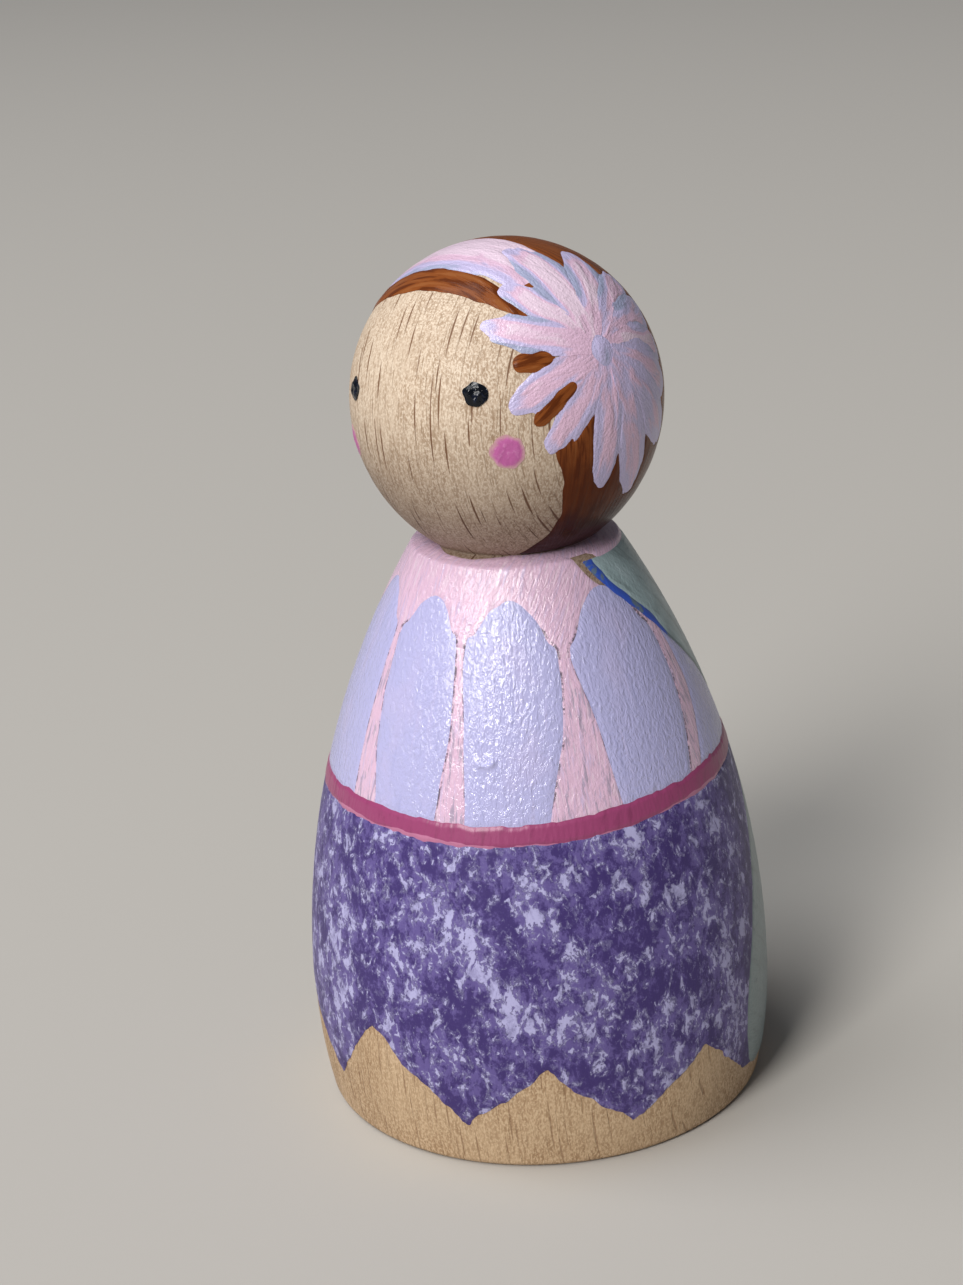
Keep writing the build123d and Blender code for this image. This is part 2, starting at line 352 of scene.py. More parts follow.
class Shade:
    """A Principled material, and the few kinds of node that its patterns are made with."""

    def __init__(self, name, roughness, **settings):
        self.material = bpy.data.materials.new(name)
        self.material.use_nodes = True
        self.tree = self.material.node_tree
        self.shader = self.tree.nodes["Principled BSDF"]
        self.shader.inputs["Roughness"].default_value = roughness
        for socket, value in settings.items():
            self.shader.inputs[socket.replace("_", " ")].default_value = value
        vector = self.make("ShaderNodeAttribute", {}, 1, attribute_name="stroke")
        self.along, self.across, self.mark = self.parts(vector)

    def make(self, kind, inputs, output=0, **settings):
        node = self.tree.nodes.new(kind)
        for key, value in settings.items():
            setattr(node, key, value)
        for key, value in inputs.items():
            if isinstance(value, bpy.types.NodeSocket):
                self.tree.links.new(value, node.inputs[key])
            else:
                node.inputs[key].default_value = value
        return node.outputs[output]

    def parts(self, vector):
        node = self.tree.nodes.new("ShaderNodeSeparateXYZ")
        self.tree.links.new(vector, node.inputs[0])
        return node.outputs

    def solid(self, scale=(1, 1, 1), turn=0.0):
        """The place in space in millimetres, turned about Z, then scaled."""
        place = self.make("ShaderNodeTexCoord", {}, 3)
        turned = self.make("ShaderNodeVectorRotate", {0: place, "Angle": turn}, rotation_type="Z_AXIS")
        factor = tuple(s / MM for s in scale)
        return self.make("ShaderNodeVectorMath", {0: turned, 1: factor}, operation="MULTIPLY")

    def stroke(self, along=1.0, across=1.0, shift=0.0):
        """The place along and across the brush strokes, scaled."""
        x, y = self.product(self.along, along), self.product(self.across, across)
        return self.make("ShaderNodeCombineXYZ", {0: x, 1: y, 2: shift})

    def noise(self, place, detail=2.0, roughness=0.5, distortion=0.0):
        """Noise at a vector, or at the place in space scaled by three numbers."""
        vector = self.solid(place) if isinstance(place, tuple) else place
        inputs = {"Vector": vector, "Scale": 1.0, "Detail": detail, "Roughness": roughness}
        return self.make("ShaderNodeTexNoise", {**inputs, "Distortion": distortion})

    def math(self, operation, a, b=0.0, c=0.0):
        return self.make("ShaderNodeMath", {0: a, 1: b, 2: c}, operation=operation)

    def plus(self, value, pattern, amount):
        """value, with amount of a pattern that is about 0.5 in its middle."""
        return self.math("ADD", value, self.math("MULTIPLY_ADD", pattern, amount, -amount / 2))

    def product(self, *values):
        result = values[0]
        for value in values[1:]:
            result = self.math("MULTIPLY", result, value)
        return result

    def step(self, value, low, high, most=1.0):
        """0 where value is below low, most where it is above high; low may be the larger one."""
        inputs = {"Value": value, "From Min": low, "From Max": high, "To Max": most}
        return self.make("ShaderNodeMapRange", inputs, interpolation_type="SMOOTHSTEP")

    def mix(self, share, a, b, blend="MIX"):
        a, b = ((*c, 1.0) if isinstance(c, tuple) else c for c in (a, b))
        return self.make("ShaderNodeMix", {0: share, 6: a, 7: b}, 2, data_type="RGBA", blend_type=blend)

    def layers(self, colour, *coats):
        """A colour under others. Each has its colour, its pattern, where the pattern begins and
        where it is full, and how much it covers there."""
        for coat, pattern, low, high, most in coats:
            colour = self.mix(self.step(pattern, low, high, most), colour, coat)
        return colour

    def tint(self, share, colour, tint):
        """The colour, multiplied by a tint as far as share says."""
        return self.mix(share, colour, tint, "MULTIPLY")

    def finish(self, colour, height=None, relief=0.02, roughness=None):
        """Feeds the colour, a bump of relief millimetres, and a roughness pattern."""
        self.tree.links.new(colour, self.shader.inputs["Base Color"])
        if height is not None:
            bump = self.make("ShaderNodeBump", {"Height": height, "Distance": relief * MM, "Strength": 1.0})
            self.tree.links.new(bump, self.shader.inputs["Normal"])
        if roughness is not None:
            self.tree.links.new(roughness, self.shader.inputs["Roughness"])
        return self.material


# Colours, as linear red, green and blue
BEECH = (0.60, 0.465, 0.345)
BEECH_LIGHT = (0.76, 0.635, 0.50)
BEECH_DARK = (0.37, 0.25, 0.16)
# The multiplier for the painted shade under the head
CHIN_SHADE_TINT = (0.50, 0.46, 0.45)
FOOT_TINT = (0.84, 0.74, 0.60)
RAY_BROWN = (0.180, 0.085, 0.040)
HAIR_BROWN = (0.225, 0.062, 0.014)
HAIR_DARK = (0.085, 0.017, 0.004)
HAIR_LIGHT = (0.28, 0.095, 0.028)
HAIR_SHADOW = (0.024, 0.004, 0.004)
PINK = (0.73, 0.49, 0.645)
PALE_PINK = (0.80, 0.64, 0.755)
LAVENDER = (0.55, 0.49, 0.74)
GREY_BLUE = (0.33, 0.37, 0.53)
BODICE = (0.47, 0.46, 0.74)
BODICE_BLUE = (0.38, 0.38, 0.66)
RASPBERRY = (0.31, 0.050, 0.150)
RASPBERRY_DARK = (0.21, 0.032, 0.100)
RASPBERRY_PALE = (0.55, 0.20, 0.34)
RUBBED_GREY = (0.34, 0.29, 0.40)
SKIRT_DARK = (0.048, 0.028, 0.150)
SKIRT_MID = (0.125, 0.092, 0.29)
SKIRT_LIGHT = (0.47, 0.45, 0.72)
TEAL = (0.33, 0.435, 0.455)
TEAL_DARK = (0.13, 0.18, 0.185)
TEAL_LIGHT = (0.43, 0.53, 0.56)
LINE_BLUE = (0.030, 0.085, 0.46)
INK = (0.035, 0.035, 0.055)
EYE_BLACK = (0.003, 0.004, 0.007)
# A faint painted bluish sheen on the bumps of the eyes
EYE_SHEEN_BLUE = (0.008, 0.012, 0.028)
MAGENTA = (0.50, 0.12, 0.34)
PALE_MAGENTA = (0.62, 0.22, 0.46)

RAY_TURN = radians(-10)


def beech():
    """Bare beech: vertical fibres, pores, and rays that stand in upright planes, with painted shade that
    darkens the underside of the head.
    """
    shade = Shade("beech", 0.5, Specular_IOR_Level=0.35)
    fibres = shade.noise(shade.solid((6, 3, 0.6), RAY_TURN), 3, 0.6)
    speckle = shade.noise(shade.solid((9, 9, 4.5), RAY_TURN), 2, 0.7)
    rings = shade.noise(shade.solid((0.12, 0.8, 0.03), RAY_TURN), 2, 0.5, 0.4)
    cloud = shade.noise((0.2, 0.2, 0.12))
    ray = ray_flecks(shade, (0.74, 3.2, 3.4), 2.3, 0.085, 0.15)
    fine_ray = ray_flecks(shade, (0.5, 1.7, 2.0), 1.1, 0.045, 0.05)
    height = shade.parts(shade.solid())[2]
    depth = shade.math("MULTIPLY_ADD", shade.step(height, 7, 36), 0.55, 0.45)
    # Painted shade: the head is darkened from the jaw down to the neck, where shade falls under it
    chin_shade = shade.product(shade.step(shade.plus(height, cloud, 5.0), 49, 39.5), shade.step(height, 30, 32))
    foot = shade.step(shade.plus(height, cloud, 4.0), 16, 8)
    colour = shade.layers(
        BEECH_DARK,
        (BEECH, fibres, 0.34, 0.58, 1.0),
        (BEECH_LIGHT, speckle, 0.50, 0.60, 0.85),
        (BEECH_DARK, speckle, 0.46, 0.37, 0.7),
        (BEECH_DARK, rings, 0.5, 0.72, 0.22),
        (BEECH_LIGHT, cloud, 0.4, 0.7, 0.3),
    )
    colour = shade.mix(shade.product(fine_ray, depth, 0.7), colour, BEECH_DARK)
    colour = shade.mix(shade.product(ray, depth), colour, RAY_BROWN)
    colour = shade.tint(shade.product(chin_shade, 0.95), colour, CHIN_SHADE_TINT)
    colour = shade.tint(foot, colour, FOOT_TINT)
    grooves = shade.product(shade.math("ADD", ray, fine_ray), 0.5)
    relief = shade.math("SUBTRACT", shade.plus(shade.product(fibres, 0.6), speckle, 0.6), grooves)
    return shade.finish(colour, relief, 0.03, shade.step(speckle, 1.6, -0.4))


def ray_flecks(shade, cell, half_length, half_width, rarity):
    """Thin upright lenses: 1 inside one, 0 outside. Each cell of a 3-D pattern holds one, if its
    chance is above rarity. cell is the size of a cell, sideways, into the wood and upright."""
    vector = shade.solid(tuple(1 / size for size in cell), RAY_TURN)
    cells = shade.tree.nodes.new("ShaderNodeTexVoronoi")
    cells.inputs["Scale"].default_value = 1.0
    shade.tree.links.new(vector, cells.inputs["Vector"])
    place = cells.outputs["Position"]
    offset = shade.make("ShaderNodeVectorMath", {0: vector, 1: place}, operation="SUBTRACT")
    offset = shade.make("ShaderNodeVectorMath", {0: offset, 1: cell}, operation="MULTIPLY")
    sideways, back, up = shade.parts(offset)
    chance = shade.make("ShaderNodeSeparateColor", {0: cells.outputs["Color"]})
    length = shade.math("MULTIPLY_ADD", chance, half_length, half_length * 0.4)
    end = shade.math("POWER", shade.math("ABSOLUTE", shade.math("DIVIDE", up, length)), 2.0)
    deep = shade.math("POWER", shade.math("ABSOLUTE", shade.math("DIVIDE", back, cell[1] * 0.45)), 2.0)
    taper = shade.math("SUBTRACT", shade.math("SUBTRACT", 1.0, end), deep)
    lens = shade.math("SUBTRACT", shade.product(taper, half_width), shade.math("ABSOLUTE", sideways))
    return shade.product(shade.step(lens, 0.0, half_width * 0.6), shade.step(chance, rarity, rarity + 0.01))


def hair_brown():
    """Rust brown in long streaks. Towards the nape it is darker and redder, partly in the paint and
    partly as painted shade, and the nape itself is painted shade under the head.
    """
    shade = Shade("hair_paint", 0.26, Specular_IOR_Level=0.10)
    streaks = shade.noise(shade.stroke(0.3, 2.6), 3, 0.6, 0.2)
    cloud = shade.noise((0.9, 0.9, 0.6), 3)
    height = shade.parts(shade.solid())[2]
    colour = shade.layers(
        HAIR_BROWN,
        (HAIR_DARK, streaks, 0.49, 0.60, 0.8),
        (HAIR_LIGHT, streaks, 0.46, 0.36, 0.8),
        (HAIR_DARK, shade.plus(height, cloud, 4.0), 48.0, 43.0, 0.85),
        # Painted shade at the nape, under the head
        (HAIR_SHADOW, shade.plus(height, cloud, 3.0), 42.5, 39.5, 0.85),
    )
    return shade.finish(colour, shade.plus(streaks, cloud, 0.4), 0.05)


def wing_teal():
    """Grey teal, brushed thin, so that light and dark streaks show."""
    shade = Shade("wing_paint", 0.36, Coat_Weight=0.2, Coat_Roughness=0.25)
    streaks = shade.noise(shade.stroke(0.35, 2.4), 3, 0.65, 0.2)
    peel = shade.noise((4, 4, 4), 2)
    cloud = shade.noise((0.5, 0.5, 0.5), 2)
    colour = shade.layers(
        TEAL,
        (TEAL_DARK, streaks, 0.52, 0.70, 0.6),
        (TEAL_LIGHT, streaks, 0.48, 0.30, 0.7),
        (TEAL_DARK, cloud, 0.5, 0.75, 0.4),
    )
    low = shade.plus(shade.parts(shade.solid())[2], cloud, 6.0)
    colour = shade.layers(colour, (TEAL_DARK, low, 30, 16, 0.6))
    return shade.finish(colour, shade.plus(streaks, peel, 0.8), 0.06)


def two_tone_petal():
    """Lavender strokes, pink where their mark is high and grey-blue where it is low."""
    shade = Shade("petal_paint", 0.30, Specular_IOR_Level=0.6)
    streaks = shade.noise(shade.stroke(0.4, 3.2), 3, 0.6, 0.4)
    broad = shade.noise(shade.stroke(0.45, 1.2, 4.0), 2, 0.5, 0.5)
    fine = shade.noise((6, 6, 6), 2)
    tone = shade.plus(shade.plus(shade.mark, streaks, 0.7), broad, 1.3)
    colour = shade.layers(
        LAVENDER,
        (PINK, tone, 0.15, 0.55, 1.0),
        (PALE_PINK, tone, 0.70, 1.05, 0.8),
        (GREY_BLUE, tone, -0.30, -0.75, 0.85),
    )
    return shade.finish(colour, shade.plus(shade.plus(broad, streaks, 0.35), fine, 0.45), 0.13)


def bodice_satin():
    """Light lavender-blue, glossy, with the fine upright ridges that a soft brush leaves."""
    shade = Shade("bodice_paint", 0.15, Specular_IOR_Level=0.9)
    ridges = shade.noise(shade.stroke(1.5, 2.6), 3, 0.6, 0.8)
    fine = shade.noise(shade.stroke(3.5, 5.0), 2)
    streaks = shade.noise(shade.stroke(0.16, 2.2, 7.0), 3, 0.6)
    cloud = shade.noise(shade.stroke(0.25, 0.35, 3.0), 2)
    colour = shade.layers(
        BODICE,
        (BODICE_BLUE, streaks, 0.55, 0.75, 0.6),
        (LAVENDER, streaks, 0.42, 0.25, 0.5),
        (LAVENDER, cloud, 0.5, 0.7, 0.35),
    )
    return shade.finish(colour, shade.plus(ridges, fine, 0.45), 0.12)


def inked_pink(name, wear, relief):
    """Pink paint, rubbed grey in streaks as far as wear says, with broken pencil lines along
    the edges where its mark is near 0."""
    shade = Shade(name, 0.15, Specular_IOR_Level=0.9)
    streaks = shade.noise(shade.stroke(0.5, 4.0), 4, 0.65, 0.4)
    ridges = shade.noise(shade.stroke(2.0, 3.0, 2.0), 3, 0.6, 0.6)
    worn = shade.noise(shade.stroke(0.45, 3.0, 5.0), 4, 0.7, 0.3)
    breaks = shade.noise((1.3, 1.3, 1.3), 5, 0.8)
    line = shade.step(shade.plus(shade.mark, worn, 0.30), 0.14, 0.03, 0.85)
    colour = shade.layers(
        PINK,
        (LAVENDER, streaks, 0.50, 0.68, 0.5),
        (PALE_PINK, streaks, 0.46, 0.34, 0.7),
        (RUBBED_GREY, worn, 0.52, 0.62, wear),
    )
    colour = shade.mix(shade.product(line, shade.step(breaks, 0.46, 0.56)), colour, INK)
    return shade.finish(colour, shade.plus(ridges, streaks, 0.5), relief)


def waist_raspberry():
    """Raspberry, darker where the brush was lifted, paler where it is thin at the lower edge."""
    shade = Shade("waist_paint", 0.38, Coat_Weight=0.15, Coat_Roughness=0.25)
    marks = shade.noise(shade.stroke(0.6, 1.6), 3, 0.65)
    thin = shade.noise(shade.stroke(0.3, 0.16, 3.0), 4, 0.6)
    colour = shade.layers(
        RASPBERRY,
        (RASPBERRY_DARK, marks, 0.5, 0.7, 0.6),
        (RASPBERRY_PALE, shade.plus(shade.mark, thin, -1.6), -0.53, -0.57, 0.85),
    )
    return shade.finish(colour, marks, 0.04)


def dabbed_violet():
    """Dark violet, dabbed with a sponge: a mottled middle violet, then pale lavender flecks."""
    shade = Shade("skirt_paint", 0.42, Specular_IOR_Level=0.35)
    mottle = shade.noise((1.3, 1.3, 1.0), 7, 0.76, 0.3)
    grain = shade.noise((6, 6, 4.5), 4, 0.75, 0.4)
    areas = shade.noise((0.32, 0.32, 0.24), 2)
    chips = shade.noise((1.15, 1.15, 0.82), 6, 0.62, 0.5)
    specks = shade.noise((2.7, 2.7, 1.9), 4, 0.62, 0.6)
    middle = shade.plus(shade.plus(mottle, grain, 0.22), areas, 0.5)
    pale = shade.plus(shade.plus(chips, areas, 0.28), grain, 0.20)
    small = shade.plus(shade.plus(specks, areas, 0.32), chips, 0.25)
    worn = shade.math("MULTIPLY_ADD", shade.step(mottle, 0.38, 0.56), 0.55, 0.40)
    rubbed = shade.math("MAXIMUM", shade.step(pale, 0.50, 0.57), shade.step(small, 0.53, 0.61))
    thick = shade.math("MAXIMUM", shade.step(pale, 0.575, 0.595), shade.step(small, 0.61, 0.63))
    colour = shade.layers(SKIRT_DARK, (SKIRT_MID, middle, 0.43, 0.58, 1.0))
    colour = shade.mix(shade.product(rubbed, 0.20), colour, SKIRT_LIGHT)
    colour = shade.mix(shade.product(thick, worn), colour, SKIRT_LIGHT)
    return shade.finish(colour, shade.plus(thick, grain, 0.7), 0.035)


def blue_line():
    """A broken ultramarine line that fades into dark teal down the edge."""
    shade = Shade("line_paint", 0.36, Coat_Weight=0.15)
    breaks = shade.noise((0.5, 0.5, 0.5), 4, 0.6, 0.3)
    colour = shade.layers(
        LINE_BLUE,
        (TEAL_DARK, breaks, 0.54, 0.60, 0.85),
        (TEAL_DARK, shade.plus(shade.along, breaks, 2.0), 5.4, 7.0, 1.0),
    )
    return shade.finish(colour, breaks, 0.04)


def dot_paint(name, colour, speck_and_sheen, gloss, relief, size, rim):
    """A dot of thick paint, with the small bumps left by the tool that dabbed it. rim says how
    much bare wood shows through at its edge. The second colour goes on the tops of the bumps:
    paler paint on the cheeks, and a faint painted bluish sheen on the eyes."""
    shade = Shade(name, gloss, Specular_IOR_Level=0.3)
    bumps = shade.noise((size, size, size), 2, 0.5, 0.4)
    mixed = shade.layers(colour, (speck_and_sheen, bumps, 0.5, 0.75, 1.0))
    thin = shade.step(shade.plus(shade.mark, bumps, 0.3), 0.30, 0.0)
    mixed = shade.mix(shade.product(thin, rim), mixed, BEECH)
    return shade.finish(mixed, bumps, relief)


PAINTS = {
    "beech": (beech(), "beech"),
    "hair": (hair_brown(), "hair_brown"),
    "petal": (two_tone_petal(), "petal_paint"),
    "bodice": (bodice_satin(), "bodice_paint"),
    "collar": (inked_pink("pink_paint", 0.15, 0.11), "pink_paint"),
    "seam": (inked_pink("seam_paint", 0.75, 0.09), "pink_paint"),
    "waist": (waist_raspberry(), "waist_paint"),
    "skirt": (dabbed_violet(), "skirt_paint"),
    "wing": (wing_teal(), "wing_paint"),
    "line": (blue_line(), "line_paint"),
    # The eyes' bluish specks on their bumps are a faint painted sheen
    "eye": (dot_paint("eye_paint", EYE_BLACK, EYE_SHEEN_BLUE, 0.12, 0.09, 2.8, 0.0), "eye_paint"),
    "cheek": (dot_paint("cheek_paint", MAGENTA, PALE_MAGENTA, 0.45, 0.04, 3.0, 0.55), "cheek_paint"),
}


# -------- the wooden peg --------

PEG_SIDES = 360
PROFILE_STEP = 0.25
BASE_RINGS, ROUNDING_RINGS, LEDGE_RINGS, JAW_RINGS, CROWN_RINGS = 10, 7, 6, 45, 62
# The shoulder's edge, softened: how far in and how far up the ledge begins
RIM_IN, RIM_UP = 0.25, 0.08
LATHE_MARK = 0.006


def peg_profile():
    """The turned outline from the middle of the base to the crown, as radius and height."""
    base_radius = float(body_radius(BASE_ROUNDING)) - BASE_ROUNDING
    base = np.stack([np.linspace(0, base_radius, BASE_RINGS + 2)[1:-1], np.zeros(BASE_RINGS)], -1)
    turn = np.linspace(-pi / 2, 0, ROUNDING_RINGS)
    rounding = np.stack([np.cos(turn), 1 + np.sin(turn)], -1) * BASE_ROUNDING + [base_radius, 0]
    heights = np.arange(BASE_ROUNDING + PROFILE_STEP, SHOULDER_HEIGHT, PROFILE_STEP)
    side = np.stack([body_radius(heights), heights], -1)
    inset = JAW_RADIUS - HEAD_RADIUS
    drop = np.sqrt(JAW_RADIUS**2 - (NECK_RADIUS + inset) ** 2)
    rim = (body_radius(SHOULDER_HEIGHT) - RIM_IN, SHOULDER_HEIGHT + RIM_UP)
    ledge = np.linspace(rim, (NECK_RADIUS, HEAD_HEIGHT - drop), LEDGE_RINGS)
    turn = np.linspace(-np.arcsin(drop / JAW_RADIUS), 0, JAW_RINGS + 1)[1:]
    jaw = np.stack([np.cos(turn), np.sin(turn)], -1) * JAW_RADIUS + [-inset, HEAD_HEIGHT]
    turn = np.linspace(0, pi / 2, CROWN_RINGS + 2)[1:-1]
    crown = np.stack([np.cos(turn), np.sin(turn)], -1) * HEAD_RADIUS + [0, HEAD_HEIGHT]
    return np.vstack([base, rounding, side, ledge, jaw, crown])


def turned_peg():
    """The bare peg, turned from its outline, with faint marks of the lathe."""
    radius, height = peg_profile().T
    radius = radius + LATHE_MARK * wobble(height * 2.2, height * 0, 8) * (height > BASE_ROUNDING)
    level = outward(np.arange(PEG_SIDES) * 360 / PEG_SIDES)
    rings = level * radius[:, None, None] + np.array([0, 0, 1]) * height[:, None, None]
    points = np.vstack([rings.reshape(-1, 3), [[0, 0, 0], [0, 0, HEIGHT]]])
    last, foot, crown = len(points) - 2 - PEG_SIDES, len(points) - 2, len(points) - 1
    faces = []
    for side in range(PEG_SIDES):
        after = (side + 1) % PEG_SIDES
        for low in range(0, last, PEG_SIDES):
            high = low + PEG_SIDES
            faces.append((low + side, low + after, high + after, high + side))
        faces.append((after, side, foot))
        faces.append((last + side, last + after, crown))
    mesh = bpy.data.meshes.new("turned_peg")
    mesh.from_pydata(points * MM, [], faces)
    mesh.shade_smooth()
    place("turned_peg", mesh, "beech")


# -------- the head --------

FLOWER_PLACE = (83, 25)
FLOWER = head_axes(*FLOWER_PLACE)
FLOWER_RADIUS = (0.95, 1.1)
# Petals, topmost first: bearing round the flower's middle, length, width, how far the tip bends
# aside, and how pink the stroke is
PETALS = (
    (154, 7.7, 2.6, -0.6, 0.7), (193, 7.1, 2.4, 0.3, 0.5), (231, 7.2, 2.3, -0.6, 0.35),
    (259, 8.7, 2.4, 0.8, 0.3), (286, 10.4, 3.1, 0.0, 0.25), (312, 9.4, 3.6, 0.3, 0.2),
    (337, 7.7, 3.5, 0.0, 0.35), (358, 7.3, 3.3, -0.2, 0.8), (19, 7.9, 3.4, 0.2, 0.45),
    (41, 8.3, 3.2, -0.3, 0.6), (65, 8.4, 3.2, 0.3, 0.8), (94, 9.4, 3.4, 0.5, 1.0),
    (121, 7.4, 2.5, 0.5, 0.9),
)
# Tufts of hair: bearing round the flower's middle, nearest and farthest distance, and width
TUFTS = {"tuft_upper": (173, 3.4, 5.9, 1.25), "tuft_lower": (210, 2.7, 6.4, 1.05)}
# The hairline from the side, as Y and height, then outlines seen from above, as X and Y
HAIRLINE = (
    (-4.0, 38.3), (-3.8, 41.0), (-4.7, 44.4), (-5.3, 46.8), (-3.9, 48.2), (-3.4, 52.0), (-3.5, 57.5),
)
FRINGE = ((6.0, -4.2), (4.0, -5.4), (0.4, -5.95), (-4.0, -5.7), (-7.4, -3.9), (-3.0, -4.3), (1.5, -4.3))
HEADBAND = (
    (4.6, -3.5), (2.4, -4.1), (0.0, -4.7), (-5.0, -4.4), (-8.8, -1.8), (-8.6, -0.4), (-3.0, 0.0), (4.2, -0.2),
)
# Dots on the face: azimuth, latitude and radius
DOTS = {
    "eye_left": (30.8, 14.8, 0.70), "eye_right": (-30, 10.5, 0.70),
    "cheek_left": (41.5, -5, 1.05), "cheek_right": (-38, -11, 1.05),
}
# A patch of the crown that holds the fringe and the headband
CROWN = HeadChart(-10, 62, (13.5, 8.0))


def along_bearing(points, bearing):
    """Distances along and across a bearing from the middle of the flower."""
    x, y = over_head(points, FLOWER)
    turn = radians(bearing)
    return x * cos(turn) + y * sin(turn), y * cos(turn) - x * sin(turn)


def along_petal(points, number):
    """Distances along a petal's bearing, across it and aside from its bent middle, and the
    share of its length."""
    bearing, length, _, bend, _ = PETALS[number]
    along, across = along_bearing(points, bearing)
    share = np.clip(along / length, 0, 1)
    return along, across, across - bend * share**2, share


def petal_depth(points, number):
    """Depth inside a petal: narrow at the middle, widest past half way, ragged at its tip."""
    _, length, width, *_ = PETALS[number]
    along, across, aside, share = along_petal(points, number)
    tip = np.clip((share - 0.6) / 0.4, 0, 1)
    half = width / 2 * (0.3 + 0.7 * smooth(0, 0.55, share)) * (1 - tip**2) ** 0.55
    half = half + 0.22 * wobble(across * 3.0, along * 0.7, 20 + number) * smooth(0.5, 0.9, share)
    half = half + 0.06 * wobble(along * 2.0, across * 2.0, 50 + number)
    return np.minimum(np.minimum(half - np.abs(aside), length - along), along + 0.6)


def petal_mark(points, number):
    """Above 0 where a petal is pink, below 0 where it is grey-blue."""
    bearing, _, width, _, pink = PETALS[number]
    along, _, aside, share = along_petal(points, number)
    sway = 0.25 * wobble(along * 0.45, along * 0 + number, 40)
    aside = np.abs(aside - sway) / width
    middle = smooth(0.15, 0.3, share) * smooth(0.98, 0.75, share) * smooth(0.36, 0.14, aside)
    near = smooth(4.4, 1.8, along)
    side = smooth(0.22, 0.40, aside) * smooth(0.15, 0.4, share) * (1 - near)
    blue = 0.5 + 0.4 * cos(radians(bearing - 80))
    return pink * np.maximum(middle * 1.3, near) - 1.1 * blue * side - 0.25 * blue + 0.1


def flower_depth(points):
    x, y = over_head(points, FLOWER)
    away = np.hypot(x / FLOWER_RADIUS[0], y / FLOWER_RADIUS[1])
    return (1 - away) * FLOWER_RADIUS[0] + 0.08 * wobble(x * 1.5, y * 1.5, 5)


def tuft_depth(points, label):
    bearing, near, far, width = TUFTS[label]
    along, across = along_bearing(points, bearing)
    half = (far - near) / 2
    away = ((along - near - half) / half) ** 4 + (across / (width / 2)) ** 2
    return (1 - away**0.5) * width / 2 + 0.10 * wobble(along * 1.5, across * 1.5, 7)


def from_above(points, outline, seed):
    """Depth inside an outline drawn on the head as seen from above."""
    depth = inside(points[..., 0], points[..., 1], loop(outline))
    depth = np.where(points[..., 2] > HEAD_HEIGHT, depth, -1.0)
    return depth + 0.06 * wobble(points[..., 0] * 1.6, points[..., 1] * 1.6, seed)


def fringe_depth(points):
    return from_above(points, FRINGE, 11)


def headband_depth(points):
    return from_above(points, HEADBAND, 12)


def hair_depth(points):
    """Depth behind the hairline, and above the neck."""
    line = curve(HAIRLINE)
    behind = points[..., 1] - np.interp(points[..., 2], line[:, 1], line[:, 0])
    ragged = 0.10 * wobble(points[..., 2] * 1.3, points[..., 1] * 0.7, 9)
    return np.minimum(behind + ragged, points[..., 2] - HAIRLINE[0][1])


def tuft_cover(points):
    return np.maximum.reduce([tuft_depth(points, label) for label in TUFTS])


def petal_cover(points):
    return np.maximum.reduce([petal_depth(points, number) for number in range(len(PETALS))])


def under(depth, *covers):
    """A lower film, cut back to a short lap under the films that cover it."""
    for cover in covers:
        depth = np.minimum(depth, LAP - cover)
    return depth


def flower():
    """The daisy's middle and its petals, each brushed over the ones after it."""

    def middle(u, v, points):
        return flower_depth(points)

    def dabbed(u, v, points):
        return v, u, 0 * u - 0.35

    chart = HeadChart(*FLOWER_PLACE, (1.8, 1.8), 0.1)
    film("flower_centre", chart, middle, "daisy_middle", dabbed, ramp=0.7)
    chart = HeadChart(*FLOWER_PLACE, (12, 12), 0.12)
    for number, (bearing, *_) in enumerate(PETALS):

        def region(u, v, points):
            covers = [petal_depth(points, earlier) for earlier in range(number)]
            return under(petal_depth(points, number), flower_depth(points), tuft_cover(points), *covers)

        def edge(u, v, points):
            along, _ = along_bearing(points, PETALS[number][0])
            merged = 0.6 * smooth(4.5, 2.0, along)
            return np.minimum(petal_depth(points, number), region(u, v, points) * 2 + 0.08) + merged

        def strokes(u, v, points):
            along, across = along_bearing(points, bearing)
            return along + number * 13, across, petal_mark(points, number)

        def ridges(u, v, points):
            along, across = along_bearing(points, bearing)
            return 0.018 * wobble(across * 2.2, along * 0.5, 90 + number)

        name = f"flower_petal_{number + 1}"
        film(name, chart, region, "daisy_petal", strokes, ridges, edge=edge)


def hair():
    """Tufts between the petals, the fringe, and the hair behind the headband."""
    for label, (bearing, *_) in TUFTS.items():

        def tuft(u, v, points):
            return tuft_depth(points, label)

        def lengthwise(u, v, points):
            return (*along_bearing(points, bearing), 0 * u)

        film(label, HeadChart(60, 14, (4.5, 5.5), 0.1), tuft, "lock", lengthwise)

    def fringe(u, v, points):
        return under(fringe_depth(points), petal_cover(points))

    def behind(u, v, points):
        covers = petal_cover(points), fringe_depth(points), headband_depth(points), tuft_cover(points)
        return under(hair_depth(points), *covers)

    def combed(u, v, points):
        azimuth = np.arctan2(points[..., 0], -points[..., 1])
        return points[..., 2], azimuth * HEAD_RADIUS, 0 * u

    film("fringe_lock", CROWN, fringe, "lock", sideways)
    film("hair", HeadChart(180, 5, (21, 21), 0.16), behind, "hair", combed)


def sideways(u, v, points):
    """Strokes across the crown from ear to ear, pinker towards the back."""
    x, y = points[..., 0], points[..., 1]
    wave = 0.25 * wobble(x * 0.25, y * 0.9, 17)
    return x, y, 1.1 * smooth(-4.2, -2.2, y + wave) - 0.75 * smooth(-3.2, -4.4, y + wave)


def headband():
    def band(u, v, points):
        return under(headband_depth(points), petal_cover(points), fringe_depth(points))

    def ridges(u, v, points):
        return 0.015 * wobble(points[..., 1] * 3.4, points[..., 0] * 0.4, 18)

    film("headband", CROWN, band, "headband", sideways, ridges)


